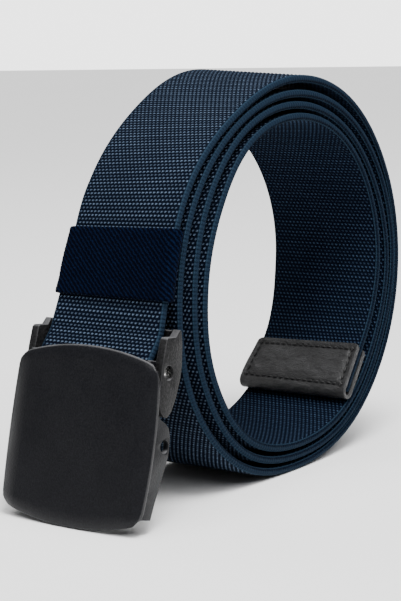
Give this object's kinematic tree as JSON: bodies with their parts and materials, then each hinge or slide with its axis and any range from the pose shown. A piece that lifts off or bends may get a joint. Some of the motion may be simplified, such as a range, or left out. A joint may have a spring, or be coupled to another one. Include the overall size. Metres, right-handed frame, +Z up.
{
  "type": "elastic belt with flip buckle",
  "caption": "Woven elastic stretch belt rolled in a coil on its edge, with a closed plastic flip buckle, a keeper loop and a leather end tab.",
  "frame": {"origin": "middle of the base of the whole belt's box, on the floor that the coil and the buckle stand on", "axes": "+Z up, Y along the coil's axis with the picture's near edge at -Y, buckle at -X"},
  "size_m": [0.1374, 0.0494, 0.1138],
  "materials": {
    "webbing": "pebbled woven elastic, dark navy",
    "keeper": "twill elastic, deep navy",
    "leather": "soft grained, dark grey",
    "cover_plastic": "fine moulded grain, charcoal",
    "frame_plastic": "satin moulded, dark grey",
    "pin_steel": "bright"
  },
  "bodies": {
    "belt": {"webbing_strap": "webbing", "keeper_loop": "keeper", "end_tab": "leather", "buckle_frame": "frame_plastic", "hinge_pin": "pin_steel"},
    "cover": {"buckle_cover": "cover_plastic"}
  },
  "joints": [
    {"name": "cover_hinge", "type": "hinge", "parent": "belt", "child": "cover", "pos_m": [-0.052, 0, 0.03987], "axis": [0, 1, 0], "range_deg": [0, 20]}
  ]
}
